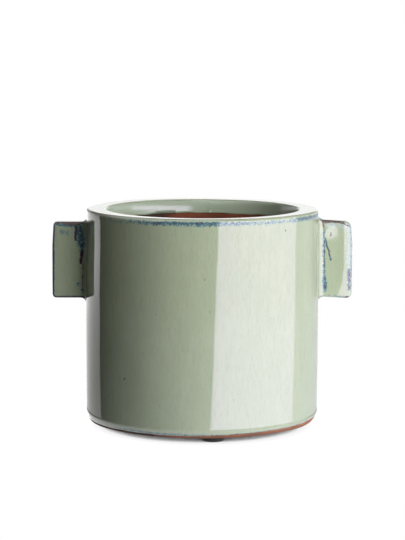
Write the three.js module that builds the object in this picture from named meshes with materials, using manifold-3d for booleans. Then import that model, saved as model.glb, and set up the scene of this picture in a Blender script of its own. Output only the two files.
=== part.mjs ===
// A round glazed terracotta planter with two square slab lugs, standing on stick-on rubber feet.
//
// It is made as the real one is: a wall cylinder with a thick turned-in rim stands on a round
// floor slab, a lug is luted to each side of the wall with a fillet of slip round its root, and
// soft feet with a disc of adhesive are stuck to the underside.
//
// Millimetres, +Z up. The origin is on the ground, under the middle of the pot. The lugs point
// along +X and -X, and the front is -Y.

import * as THREE from 'three';
import { mergeVertices } from 'three/addons/utils/BufferGeometryUtils.js';
import Module from 'manifold-3d';

const wasm = await Module();
wasm.setup();

// ---- Driving dimensions -------------------------------------------------------------------

// The pot itself. Heights are of the clay, without its feet.
const bodyRadius = 100;
const clayHeight = 183;
const wallThickness = 15;
const floorThickness = 12;
const baseRound = 9.5; // radius of the round from the side into the underside
const cornerFillet = 5; // inside, where the wall meets the floor

// The thick rim, turned inwards
const rimWidth = 15.7; // across the flat top
const rimOuterRound = 2.4;
const rimInnerRound = 1.6;
const lipDepth = 13; // of the inner face of the rim, below the flat top
const lipLean = 1.8; // how far that face leans inwards on its way down
const rimTaper = 24; // height over which the rim eases back into the wall

// The lugs
const lugReach = 29.5; // from the side of the pot to the free end
const lugHeight = 65;
const lugThickness = 12;
const lugDrop = 11.7; // from the top of the rim to the top of the lug
const lugEdgeRound = 2.2; // along the long edges of the slab
const lugCornerRound = 4.2; // of the two free corners, seen from the front
const slipFillet = 4.6; // radius of the slip fillet round the root

// The feet
const footCount = 3;
const footRadius = 10;
const footHeight = 4.2;
const footEdgeRound = 1.8;
const footInset = 25; // from the side of the pot to the middle of a foot
const firstFootAngle = THREE.MathUtils.degToRad(7); // from the front, towards +X
const adhesiveRadius = 8.5;
const adhesiveThickness = 0.8;

// The film of slip between two luted pieces, kept as a gap
const slipGap = 0.3;

// How finely round shapes are cut into facets
const turnSegments = 72;
const footSegments = 24;
const arcSegments = 5;

// ---- Worked out from them -----------------------------------------------------------------

const groundToClay = footHeight + adhesiveThickness;
const floorTop = groundToClay + floorThickness;
const wallFoot = floorTop + slipGap;
const rimTop = groundToClay + clayHeight;
const wallInnerRadius = bodyRadius - wallThickness;
const rimInnerRadius = bodyRadius - rimWidth;
const lipRadius = rimInnerRadius - lipLean;
const lugMiddleHeight = rimTop - lugDrop - lugHeight / 2;

// ---- Materials ----------------------------------------------------------------------------

const glaze = new THREE.MeshStandardMaterial({ color: '#a3b097', roughness: 0.12, metalness: 0 });
const terracotta = new THREE.MeshStandardMaterial({ color: '#ad6f55', roughness: 0.85, metalness: 0 });
const rubber = new THREE.MeshStandardMaterial({ color: '#2c2a24', roughness: 0.7, metalness: 0 });
const adhesive = new THREE.MeshStandardMaterial({ color: '#b9b4a6', roughness: 0.6, metalness: 0 });

// ---- Shape helpers ------------------------------------------------------------------------

// A closed outline in the plane of radius and height, turned about the Z axis. The outline runs
// up the outside and down the inside, so that the faces point out.
function revolve(outline, segments) {
  return new THREE.LatheGeometry(outline.getPoints(arcSegments), segments).rotateX(Math.PI / 2);
}

// The solid inside a closed geometry.
function solidOf(geometry) {
  const bare = geometry.clone();
  bare.deleteAttribute('normal');
  bare.deleteAttribute('uv');
  const merged = mergeVertices(bare);
  return new wasm.Manifold(new wasm.Mesh({
    numProp: 3,
    vertProperties: new Float32Array(merged.attributes.position.array),
    triVerts: new Uint32Array(merged.index.array),
  }));
}

// The geometry of a solid.
function geometryOf(solid) {
  const mesh = solid.getMesh();
  const geometry = new THREE.BufferGeometry();
  geometry.setAttribute('position', new THREE.BufferAttribute(mesh.vertProperties, 3));
  geometry.setIndex(new THREE.BufferAttribute(mesh.triVerts, 1));
  geometry.computeVertexNormals();
  return geometry;
}

// A skin through a row of rings of points, with a flat cap over each end. The rings have the
// same number of points and run anticlockwise as seen from the last ring's side.
function loft(rings) {
  const count = rings[0].length;
  const points = rings.flat();
  const triangles = [];
  for (let ring = 0; ring < rings.length - 1; ring += 1) {
    for (let side = 0; side < count; side += 1) {
      const here = ring * count + side;
      const beside = ring * count + ((side + 1) % count);
      triangles.push(here, beside, here + count, beside, beside + count, here + count);
    }
  }
  const lastRing = (rings.length - 1) * count;
  for (let side = 1; side < count - 1; side += 1) {
    triangles.push(0, side + 1, side);
    triangles.push(lastRing, lastRing + side, lastRing + side + 1);
  }
  const geometry = new THREE.BufferGeometry().setFromPoints(points);
  geometry.setIndex(triangles);
  geometry.computeVertexNormals();
  return geometry;
}

// A rectangle with round corners, in the plane of Y and Z at the distance x.
function roundedSection(x, halfThickness, halfHeight, cornerRadius) {
  const radius = Math.min(cornerRadius, halfThickness, halfHeight);
  const y = halfThickness - radius;
  const z = halfHeight - radius;
  const quarter = Math.PI / 2;
  const outline = new THREE.Path();
  outline.absarc(y, z, radius, 0, quarter);
  outline.absarc(-y, z, radius, quarter, 2 * quarter);
  outline.absarc(-y, -z, radius, 2 * quarter, 3 * quarter);
  outline.absarc(y, -z, radius, 3 * quarter, 4 * quarter);
  return outline.getPoints(arcSegments).map((point) => new THREE.Vector3(x, point.x, point.y));
}

// ---- Floor slab ---------------------------------------------------------------------------

// A flat disc whose lower edge is the round at the base of the pot. On top, the seat of the wall
// is a ring round the open floor, which ends where the fillet of the wall begins.
function floorSlab() {
  const openFloorRadius = wallInnerRadius - cornerFillet - slipGap;
  const outline = new THREE.Path();
  outline.moveTo(0, groundToClay);
  outline.lineTo(bodyRadius - baseRound, groundToClay);
  outline.absarc(bodyRadius - baseRound, groundToClay + baseRound, baseRound, -Math.PI / 2, 0);
  outline.lineTo(bodyRadius, floorTop);
  outline.lineTo(openFloorRadius, floorTop);
  outline.lineTo(0, floorTop);
  return revolve(outline, turnSegments);
}

// ---- Wall ---------------------------------------------------------------------------------

// Up the outside, over the flat rim, down the leaning lip, out to the thinner wall and down to
// the fillet at the floor.
function wallCylinder() {
  const rimInnerEdge = rimInnerRadius + rimInnerRound;
  const lipFoot = rimTop - lipDepth;
  const taperFoot = lipFoot - rimTaper;
  const outline = new THREE.Path();
  outline.moveTo(bodyRadius, wallFoot);
  outline.lineTo(bodyRadius, rimTop - rimOuterRound);
  outline.absarc(bodyRadius - rimOuterRound, rimTop - rimOuterRound, rimOuterRound, 0, Math.PI / 2);
  outline.lineTo(rimInnerEdge, rimTop);
  outline.quadraticCurveTo(rimInnerRadius, rimTop, rimInnerRadius - lipLean / 4, rimTop - rimInnerRound);
  outline.quadraticCurveTo(lipRadius, rimTop - lipDepth / 2, lipRadius, lipFoot);
  outline.bezierCurveTo(
    lipRadius, lipFoot - rimTaper / 2,
    wallInnerRadius, taperFoot + rimTaper / 2,
    wallInnerRadius, taperFoot,
  );
  outline.lineTo(wallInnerRadius, wallFoot + cornerFillet);
  outline.absarc(wallInnerRadius - cornerFillet, wallFoot + cornerFillet, cornerFillet, 0, -Math.PI / 2, true);
  outline.lineTo(bodyRadius, wallFoot);
  return revolve(outline, turnSegments);
}

// ---- Lugs ---------------------------------------------------------------------------------

// How far a round edge of this radius has drawn in at a distance before the free end.
function roundDrop(beforeEnd, radius) {
  const into = Math.max(0, radius - beforeEnd);
  return radius - Math.sqrt(radius * radius - into * into);
}

// How far the slip fillet stands out from the slab at a distance from the pot.
function filletRise(fromPot) {
  const into = Math.max(0, slipFillet - fromPot);
  return slipFillet - Math.sqrt(slipFillet * slipFillet - into * into);
}

// A slab seen end on is a rounded rectangle. It is lofted outwards from inside the wall, through
// the fillet at the root, to its rounded free end, and the wall is then cut out of its root.
function slabLug() {
  const distances = [-wallThickness / 2];
  for (let step = 0; step <= arcSegments; step += 1) {
    const turn = (step / arcSegments) * (Math.PI / 2);
    distances.push(slipFillet * (1 - Math.cos(turn)));
  }
  for (let step = 0; step <= arcSegments; step += 1) {
    const turn = (step / arcSegments) * (Math.PI / 2);
    distances.push(lugReach - lugCornerRound * (1 - Math.sin(turn)));
  }
  const rings = distances.map((distance) => {
    const rise = filletRise(Math.max(0, distance));
    const halfThickness = lugThickness / 2 + rise - roundDrop(lugReach - distance, lugEdgeRound);
    const halfHeight = lugHeight / 2 + rise - roundDrop(lugReach - distance, lugCornerRound);
    return roundedSection(bodyRadius + distance, halfThickness, halfHeight, lugEdgeRound + rise);
  });
  const cutterHeight = lugHeight + 4 * slipFillet;
  const seat = new THREE.CylinderGeometry(
    bodyRadius + slipGap, bodyRadius + slipGap, cutterHeight, turnSegments,
  ).rotateX(Math.PI / 2);
  return geometryOf(solidOf(loft(rings)).subtract(solidOf(seat)));
}

// ---- Feet ---------------------------------------------------------------------------------

// A soft round foot with a flat sole and a rounded lower edge.
function foot() {
  const outline = new THREE.Path();
  outline.moveTo(0, 0);
  outline.lineTo(footRadius - footEdgeRound, 0);
  outline.absarc(footRadius - footEdgeRound, footEdgeRound, footEdgeRound, -Math.PI / 2, 0);
  outline.lineTo(footRadius, footHeight);
  outline.lineTo(0, footHeight);
  return revolve(outline, footSegments);
}

// The disc of adhesive between a foot and the clay.
function adhesiveDisc() {
  const outline = new THREE.Path();
  outline.moveTo(0, footHeight);
  outline.lineTo(adhesiveRadius, footHeight);
  outline.lineTo(adhesiveRadius, groundToClay);
  outline.lineTo(0, groundToClay);
  return revolve(outline, footSegments);
}

// ---- Assembly -----------------------------------------------------------------------------

const planter = new THREE.Group();

function place(name, geometry, material, parent = planter) {
  const mesh = new THREE.Mesh(geometry, material);
  mesh.name = name;
  parent.add(mesh);
  return mesh;
}

place('pot_floor', floorSlab(), terracotta);
place('pot_wall', wallCylinder(), glaze);

const lug = slabLug();
for (const [side, turn] of [['right', 0], ['left', Math.PI]]) {
  const mesh = place(`${side}_lug`, lug, glaze);
  mesh.position.z = lugMiddleHeight;
  mesh.rotation.z = turn;
}

for (let index = 0; index < footCount; index += 1) {
  const angle = firstFootAngle + (index / footCount) * 2 * Math.PI;
  const station = new THREE.Group();
  const reach = bodyRadius - footInset;
  station.position.set(reach * Math.sin(angle), -reach * Math.cos(angle), 0);
  planter.add(station);
  place(`foot_pad_${index + 1}`, foot(), rubber, station);
  place(`foot_adhesive_${index + 1}`, adhesiveDisc(), adhesive, station);
}

export default planter;
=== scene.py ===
"""The looks of a round glazed planter with two slab lugs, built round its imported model.

Lengths are in metres, +Z is up and the front is -Y, as in the frame. An angle round the pot is
counted from the front towards +X, and a height from the ground.
"""

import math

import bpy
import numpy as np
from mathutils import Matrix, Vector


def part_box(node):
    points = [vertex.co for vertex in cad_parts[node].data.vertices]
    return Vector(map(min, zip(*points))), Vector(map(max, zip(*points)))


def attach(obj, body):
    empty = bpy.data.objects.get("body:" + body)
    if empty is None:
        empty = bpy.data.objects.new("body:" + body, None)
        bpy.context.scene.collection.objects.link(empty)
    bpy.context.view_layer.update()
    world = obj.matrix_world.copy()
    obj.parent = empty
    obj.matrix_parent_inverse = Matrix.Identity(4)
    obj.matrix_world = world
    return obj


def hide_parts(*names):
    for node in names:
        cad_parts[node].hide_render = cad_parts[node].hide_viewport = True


bl_info = {
    "name": "Glazed Planter",
    "version": (1, 0, 0),
    "blender": (4, 5, 0),
    "location": "3D View > Sidebar > Planter",
    "description": "Makes the clay, the glaze, the lugs and the feet of a round planter",
    "category": "Add Mesh",
}

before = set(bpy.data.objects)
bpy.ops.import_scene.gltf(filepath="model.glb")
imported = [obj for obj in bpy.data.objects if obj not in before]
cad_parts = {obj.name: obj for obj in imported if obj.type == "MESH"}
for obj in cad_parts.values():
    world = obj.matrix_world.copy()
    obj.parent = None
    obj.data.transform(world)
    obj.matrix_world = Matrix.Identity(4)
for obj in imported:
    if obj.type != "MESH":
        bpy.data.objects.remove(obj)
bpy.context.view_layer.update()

MM = 0.001
FEET = (1, 2, 3)

# What the frame says about the pot
wall_low, wall_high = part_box("pot_wall")
slab_low, slab_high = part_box("pot_floor")
lug_low, lug_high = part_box("right_lug")
foot_low, foot_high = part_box("foot_pad_1")
glue_low, glue_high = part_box("foot_adhesive_1")
SIDE = (wall_high.x - wall_low.x) / 2
TOP = wall_high.z
FOOT = slab_low.z


# ---- Settings ------------------------------------------------------------------------------


def length(name, default, description):
    return bpy.props.FloatProperty(
        name=name, description=description, default=default, min=0, unit="LENGTH", precision=4
    )


def angle(name, degrees, description):
    return bpy.props.FloatProperty(
        name=name, description=description, default=math.radians(degrees), subtype="ANGLE"
    )


def amount(name, default, description):
    return bpy.props.FloatProperty(name=name, description=description, default=default, min=0)


def colour(name, default, description):
    return bpy.props.FloatVectorProperty(
        name=name, description=description, default=default, size=3, min=0, max=1, subtype="COLOR"
    )


class PotSizes(bpy.types.PropertyGroup):
    """Sizes of the clay wall, its rim and its coat of glaze"""

    side_radius: length("Side radius", SIDE, "From the axis to the side")
    top: length("Top", TOP, "Height of the flat rim")
    foot: length("Foot", FOOT, "Height of the clay's underside")
    floor_top: length("Floor", slab_high.z, "Height of the inside floor")
    base_round: length("Base round", 9.5 * MM, "Height of the round into the underside")
    rim_width: length("Rim width", 15.7 * MM, "Across the flat rim")
    rim_round: length("Rim round", 2.3 * MM, "Width of the round at the rim's outer edge")
    lip_round: length("Lip round", 1.8 * MM, "Radius of the rim's inner edge")
    lip_lean: angle("Lip lean", 15.0, "How far the lip leans in below that edge")
    lip_curve: length("Lip curve", 11.7 * MM, "Depth at which the lip is upright")
    lip_depth: length("Lip depth", 12.0 * MM, "Depth of the inner glaze line below the rim")
    rim_taper: length("Rim taper", 26 * MM, "Height over which the rim eases into the wall")
    wall_thickness: length("Wall thickness", 15 * MM, "Thickness of the wall below the rim")
    floor_fillet: length("Floor fillet", 5 * MM, "Radius of the inside corner at the floor")
    glaze_thickness: length("Glaze thickness", 0.4 * MM, "Thickness of the coat of glaze")
    bead: length("Bead", 0.15 * MM, "How far the glaze swells along its edges")
    glaze_line: length("Glaze line", 3.5 * MM, "Height of the bare strip above the underside")
    rim_dip: length("Rim dip", 0.7 * MM, "How far the front of the rim slopes down inwards")


class LugSizes(bpy.types.PropertyGroup):
    """Sizes of the two slab lugs"""

    reach: length("Reach", lug_high.x - SIDE, "From the side of the pot to the free end")
    middle: length("Middle", (lug_low.z + lug_high.z) / 2, "Height of the middle of a lug")
    thickness: length("Thickness", 12 * MM, "Thickness of the slab")
    right_lift: length("Right lift", 1.9 * MM, "How much higher the right lug sits")
    right_height: length("Right height", 66.6 * MM, "Height of the right lug at its root")
    left_height: length("Left height", 66.0 * MM, "Height of the left lug at its root")
    edge_round: length("Edge round", 1.7 * MM, "Radius of the long edges")
    right_corner: length("Right corner", 5.4 * MM, "Radius of the right lug's free corners")
    left_corner: length("Left corner", 3.4 * MM, "Radius of the left lug's free corners")
    fillet: length("Slip fillet", 4.6 * MM, "Radius of the slip fillet round the root")
    right_droop: angle("Right droop", 3.2, "How far the right lug hangs outwards")
    right_short: length("Right short", 0.45 * MM, "How much less the right lug reaches out")
    right_draw: length("Right draw", 1.2 * MM, "How much less it reaches out at its top")
    left_drop: length("Left drop", 0.5 * MM, "How much lower the left lug sits")
    left_draw: length("Left draw", 1.0 * MM, "How much less the left lug reaches out at its top")


class FootSizes(bpy.types.PropertyGroup):
    """Sizes of the stick-on feet"""

    radius: length("Radius", (foot_high.x - foot_low.x) / 2, "Radius of a foot")
    height: length("Height", foot_high.z, "Thickness of a foot")
    edge_round: length("Edge round", 1.8 * MM, "Radius of the lower edge")
    glue_radius: length("Glue radius", (glue_high.x - glue_low.x) / 2, "Radius of the glue disc")
    glue_top: length("Glue top", glue_high.z, "Height of the clay that the glue holds on to")


class FinishColours(bpy.types.PropertyGroup):
    """Colours of the glaze, the clay and the feet"""

    sage: colour("Sage", (0.456, 0.533, 0.380), "The glaze over most of the pot")
    olive: colour("Olive", (0.470, 0.518, 0.345), "The glaze in its warm streaks")
    # Also painted towards the base, as painted light from the floor
    haze_and_floor_light: colour("Haze", (0.550, 0.630, 0.485), "The glaze where it lies thick")
    blue: colour("Blue", (0.060, 0.125, 0.185), "Where the glaze breaks to blue")
    teal: colour("Teal", (0.170, 0.330, 0.380), "The fringe round the blue")
    plum: colour("Plum", (0.110, 0.065, 0.100), "The darkest specks in the blue")
    frost: colour("Frost", (0.520, 0.640, 0.660), "Where the glaze breaks to a pale blue")
    # Partly painted light: the lip's glaze is also painted lighter than the rest, as light on the
    # lip
    pool: colour("Pool", (0.560, 0.665, 0.500), "The glaze where it pools on the lip")
    umber: colour("Umber", (0.095, 0.052, 0.036), "Where the glaze runs thin over an edge")
    clay: colour("Clay", (0.560, 0.245, 0.145), "The bare fired clay")
    # The clay inside the pot is painted darker than the outside, as painted shade
    shaded_inner_clay: colour("Inner clay", (0.290, 0.088, 0.045), "The bare clay inside")
    grog: colour("Grog", (0.720, 0.450, 0.330), "The pale flecks in the clay")
    # Also painted over the left of the clay, as painted shade
    scorch: colour("Scorch", (0.070, 0.046, 0.036), "The clay in its dark flecks")
    rubber: colour("Rubber", (0.025, 0.023, 0.018), "The soft feet")
    dust: colour("Dust", (0.130, 0.120, 0.100), "The dust on the feet")
    glue: colour("Glue", (0.480, 0.450, 0.380), "The glue discs")
    stale_glue: colour("Stale glue", (0.280, 0.250, 0.200), "The glue in its dark clouds")
    bubble: colour("Bubble", (0.750, 0.730, 0.680), "The bubbles in the glue")


class StudioLevels(bpy.types.PropertyGroup):
    """Light and camera"""

    softbox_near: amount("Softbox, front edge", 4.9, "Brightness of the reflection's front edge")
    softbox_far: amount("Softbox, rear edge", 3.5, "Brightness of the reflection's rear edge")
    spill: amount("Spill", 1.6, "Brightness of the wall just behind the softbox")
    front_light: amount("Front light", 3.42, "Brightness of the light just right of the front")
    key_light: amount("Key light", 5.1, "Brightness of the light further to the right")
    rear_light: amount("Rear light", 1.6, "Brightness of the light behind")
    overhead: amount("Overhead", 2.9, "Brightness above the dark flag in the glaze")
    ambient: amount("Ambient", 0.054, "Brightness of the room")
    backdrop: amount("Backdrop", 1.6, "Brightness of the backdrop in the glaze")
    room: amount("Room", 0.15, "Brightness of the room in the glaze")
    table_glow: amount("Table glow", 0.15, "Brightness of the table as a light")
    table_shine: amount("Table shine", 1.9, "Brightness of the table in the glaze")
    camera_away: length("Camera distance", 1.790, "From the pot's axis to the camera")
    camera_height: length("Camera height", 0.3599, "Height of the camera")
    camera_pitch: angle("Camera pitch", 7.185, "How far the camera looks down")
    camera_roll: angle("Camera roll", 0.229, "How far the camera leans")
    focal_length: amount("Focal length", 139.05, "In millimetres, on a 36 mm sensor")


# ---- Surfaces ------------------------------------------------------------------------------


def put_in_scene(name, data):
    """A new object for a mesh or a camera."""
    made = bpy.data.objects.new(name, data)
    bpy.context.scene.collection.objects.link(made)
    return made


def skin(name, points, finish, wrap=False, first_pole=False, last_pole=False, **attributes):
    """A smooth mesh over a grid of points. The columns close on themselves, and so do the rows
    with wrap. A pole is a first or last row that lies in one point. Seen from outside, the
    columns run to the right where the rows run up. An attribute has one number for each point."""
    rows, columns = points.shape[:2]
    index = np.arange(rows * columns).reshape(rows, columns)
    if first_pole:
        index[0] = index[0, 0]
    if last_pole:
        index[-1] = index[-1, 0]
    lower = index if wrap else index[:-1]
    upper = np.roll(index, -1, axis=0) if wrap else index[1:]
    corners = (lower, np.roll(lower, -1, axis=1), np.roll(upper, -1, axis=1), upper)
    quads = np.stack(corners, axis=-1).reshape(-1, 4)
    from_pole = quads[:, 0] == quads[:, 1]
    to_pole = quads[:, 2] == quads[:, 3]
    used, compact = np.unique(quads, return_inverse=True)
    quads = compact.reshape(-1, 4)
    faces = quads[~from_pole & ~to_pole].tolist()
    faces += quads[from_pole][:, [0, 2, 3]].tolist()
    faces += quads[to_pole][:, [0, 1, 2]].tolist()
    mesh = bpy.data.meshes.new(name)
    mesh.from_pydata(points.reshape(-1, 3)[used].tolist(), [], faces)
    for label, values in attributes.items():
        layer = mesh.attributes.new(label, "FLOAT", "POINT")
        layer.data.foreach_set("value", np.broadcast_to(values, (rows, columns)).ravel()[used])
    mesh.shade_smooth()
    mesh.materials.append(finish)
    return put_in_scene(name, mesh)


def all_round(count):
    """Angles all the way round the pot, evenly spaced from the back."""
    return np.linspace(-math.pi, math.pi, count, endpoint=False)


def turned(radius, height, angles):
    """Points at these radii and heights, in rows, at each angle round the axis: x is the radius
    times the angle's sine, and y is minus the radius times its cosine."""
    radius, height, angles = np.broadcast_arrays(radius, height, angles)
    return np.stack((radius * np.sin(angles), -radius * np.cos(angles), height), axis=-1)


def steps(start, end, count, ease=1.0):
    """A column of numbers from start to end. With an ease above 1 they crowd at the start."""
    return start + (end - start) * np.linspace(0, 1, count)[:, None] ** ease


def smooth(value, start, end):
    """0 before start and 1 past end, along 3 t squared minus 2 t cubed between them."""
    t = np.clip((value - start) / (end - start), 0, 1)
    return t * t * (3 - 2 * t)


def bump(value, middle, spread):
    """A bell curve of height 1: e to the minus square of the distance over the spread."""
    return np.exp(-(((value - middle) / spread) ** 2))


# ---- The hand-built shape ------------------------------------------------------------------

# Waves round the pot, in rows: how many there are, how far they twist over the pot's height,
# their phase, and their height in millimetres
SLOW_WAVES = ((3, 1.1, 0.6, 0.09), (5, 3.0, -1.7, 0.05))
RIM_WAVES = ((2, 0, 0.4, 0.12), (5, 0, 2.0, 0.08))
GLAZE_LINE_WAVES = ((9, 0, 1.0, 0.14), (23, 0, 0.0, 0.10), (41, 0, 2.0, 0.06))
INNER_LINE_WAVES = ((4, 0, 0.5, 0.35), (11, 0, 0.0, 0.25), (31, 0, 0.0, 0.12))

RIPPLE_COUNT = 14
RIPPLE_HEIGHT = 0.011
ripple_dice = np.random.default_rng(11)
RIPPLES = [
    (
        float(ripple_dice.integers(7, 19)),
        ripple_dice.uniform(3, 26),
        ripple_dice.uniform(0, 2 * math.pi),
        ripple_dice.uniform(-1, 1) * RIPPLE_HEIGHT,
    )
    for _ in range(RIPPLE_COUNT)
]

# How much fuller the pot is at its left and right side. The right side is fullest at a share of
# the pot's height, and the belly spreads by another.
LEFT_FULLNESS = 0.75 * MM
RIGHT_FULLNESS = 0.60 * MM
RIGHT_BELLY = 0.43
RIGHT_BELLY_SPREAD = 0.28

# The front of the rim tilts about a line this share of its width in from its round outer edge
RIM_PIVOT = 0.28


def waves(rows, angles, level=0):
    """A sum of sines: of the number of waves times the angle, plus the twist times the level,
    which is a share of the pot's height, plus the phase."""
    swings = (
        height * np.sin(count * angles + twist * level + phase)
        for count, twist, phase, height in rows
    )
    return sum(swings) * MM


def hand_wave(angles, heights):
    """How far the side stands out of true: slow waves, ripples, and a belly that grows towards
    each side with the cube of the angle's sine. Up the pot the left belly is half a sine wave
    and the right one a bell curve."""
    level = (heights - FOOT) / (TOP - FOOT)
    to_right = np.sin(angles)
    left_belly = LEFT_FULLNESS * np.sin(math.pi * np.clip(level, 0, 1))
    right_belly = RIGHT_FULLNESS * bump(level, RIGHT_BELLY, RIGHT_BELLY_SPREAD)
    bellies = left_belly * np.clip(-to_right, 0, 1) ** 3
    bellies = bellies + right_belly * np.clip(to_right, 0, 1) ** 3
    return waves(SLOW_WAVES, angles, level) + waves(RIPPLES, angles, level) + bellies


def shaped(pot, radius, height, angles):
    """The true radius and height moved by the hand-built waves. They fade out towards the axis
    with the square of the radius, and the rim's wave fades out downwards. In front the rim
    slopes down inwards, with the angle's cosine."""
    share = (radius / pot.side_radius) ** 2
    near_top = smooth(height, pot.top - pot.rim_taper, pot.top)
    above_foot = smooth(height, pot.foot, pot.foot + pot.base_round)
    inwards = np.clip((pot.side_radius - pot.rim_round - radius) / pot.rim_width, 0, 1)
    dip = pot.rim_dip * (RIM_PIVOT - inwards) * np.clip(np.cos(angles), 0, 1)
    radius = radius + hand_wave(angles, height) * share * above_foot
    return radius, height + (waves(RIM_WAVES, angles) * share + dip) * near_top


# The lower glaze line swings from low to high at this angle, this steeply and by this much each
# way, and at the far right it rises by some more such swings, between two sines of the angle
LINE_TURN = math.radians(12)
LINE_STEEPNESS = 4
LINE_SWING = 0.85 * MM
FAR_RIGHT_RISE = 1.6
FAR_RIGHT_SINES = (0.72, 0.98)


def glaze_height(pot, angles):
    """Height of the lower glaze line: low on the left of the front and higher on the right, as
    the hyperbolic tangent of a sine, higher still at the far right, and slightly uneven."""
    swings = np.tanh(LINE_STEEPNESS * np.sin(angles - LINE_TURN))
    swings = swings + FAR_RIGHT_RISE * smooth(np.sin(angles), *FAR_RIGHT_SINES)
    return pot.foot + pot.glaze_line + LINE_SWING * swings + waves(GLAZE_LINE_WAVES, angles)


# How wide the round at the base is, as a share of its height, at some sines of the angle
BASE_SINES = (-0.95, -0.75, -0.60, -0.20, 0.70, 0.90)
BASE_WIDTHS = (0.36, 0.60, 0.65, 1.00, 1.00, 0.62)

# How much taller than wide the rim's outer edge is on the left, from one pair of sines of the
# angle towards the left to the next
RIM_TALLER = 1.6
RIM_TALLER_FROM = (0.05, 0.50)
RIM_TALLER_TO = (0.97, 0.80)


def base_width(pot, angles):
    """Width of the round at the base: a circle's in front, and a narrow ellipse's at the sides."""
    return pot.base_round * np.interp(np.sin(angles), BASE_SINES, BASE_WIDTHS)


def rim_fall(pot, angles):
    """Height of the round at the rim's outer edge: a circle's, and a tall ellipse's on the left
    of the front."""
    to_left = -np.sin(angles)
    taller = smooth(to_left, *RIM_TALLER_FROM) * smooth(to_left, *RIM_TALLER_TO)
    return pot.rim_round * (1 + RIM_TALLER * taller)


def lip_path(pot):
    """The lip as distances inwards from the flat rim and down from it: an arc from the flat to
    the lip's lean, then a parabola, whose slope falls evenly to upright at the lip's curve."""
    turn = steps(0, math.pi / 2 - pot.lip_lean, 14)[1:]
    arc = np.hstack((pot.lip_round * np.sin(turn), pot.lip_round * (1 - np.cos(turn))))
    drop = pot.lip_curve - arc[-1, 1]
    down = steps(0, 1, 14)[1:]
    inward = math.tan(pot.lip_lean) * drop * (down - down**2 / 2)
    path = np.concatenate((arc, arc[-1] + np.hstack((inward, drop * down))))
    return path[:, :1], path[:, 1:]


def path_rows(stretches, angles):
    """The stretches of a path, each a radius and a height, joined as rows for every angle."""
    pairs = [np.broadcast_arrays(radius, height, angles[None])[:2] for radius, height in stretches]
    return np.concatenate([np.stack(pair) for pair in pairs], axis=1)


def glaze_path(pot, angles):
    """Radius and height of the glazed surface in rows. It starts on the round at the base, at
    the angle whose sine puts it at the lower glaze line, and runs straight up the side, over the
    rim's round edge and its flat, down the lip, and straight down to the inner glaze line."""
    low_width = base_width(pot, angles)
    round_middle = pot.side_radius - low_width
    round_height = pot.foot + pot.base_round
    fall = rim_fall(pot, angles)
    first = np.arcsin((glaze_height(pot, angles) - round_height) / pot.base_round)
    turn = first * (1 - steps(0, 1, 36, 1.6))
    side = steps(0, 1, 92)[1:-1]
    edge = steps(0, math.pi / 2, 12)
    flat_end = pot.side_radius - pot.rim_width
    lip_in, lip_down = lip_path(pot)
    inner_line = pot.top - pot.lip_depth + waves(INNER_LINE_WAVES, angles)
    upright = pot.top - pot.lip_curve
    stretches = [
        (round_middle + low_width * np.cos(turn), round_height + pot.base_round * np.sin(turn)),
        (pot.side_radius, round_height + (pot.top - fall - round_height) * side),
        (pot.side_radius - pot.rim_round * (1 - np.cos(edge)), pot.top - fall * (1 - np.sin(edge))),
        (steps(pot.side_radius - pot.rim_round, flat_end, 14)[1:], pot.top),
        (flat_end - lip_in, pot.top - lip_down),
        (flat_end - lip_in[-1], upright + (inner_line - upright) * (1 - steps(1, 0, 10, 1.6)[1:])),
    ]
    return path_rows(stretches, angles)


def outward(radius, height):
    """The outward direction across a path in rows: the path's own direction turned right."""
    along_radius = np.gradient(radius, axis=0)
    along_height = np.gradient(height, axis=0)
    size = np.hypot(along_radius, along_height)
    return along_height / size, -along_radius / size


def distances(radius, height):
    """How far each row of a path is from its first row, along the path."""
    paces = np.hypot(np.diff(radius, axis=0), np.diff(height, axis=0))
    return np.concatenate((np.zeros_like(paces[:1]), np.cumsum(paces, axis=0)))


# How strongly the glaze breaks to blue below the rim, at some angles round the pot in degrees
BREAKING_ANGLES = (-180, -120, -75, -38, -22, 6, 12, 36, 45, 56, 90, 140, 180)
BREAKING = (0.6, 0.35, 0.15, 0.48, 0.95, 1.0, 0.75, 0.65, 0.5, 1.1, 1.2, 0.5, 0.6)

# How wide the blue fringe along the lower glaze line is, in millimetres, at some such angles
FRINGE_ANGLES = (-180, -75, -52, -38, -12, -2, 12, 180)
FRINGE = (1.6, 1.0, 1.2, 4.0, 4.2, 2.6, 1.8, 1.6)

# A distance past the reach of every pattern in the glaze
FAR = 1.0

# The clay is painted darker on the left as painted shade, from one sine of the angle towards it to
# the next
LEFT_SHADE_SINES = (0.15, 0.55)


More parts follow.
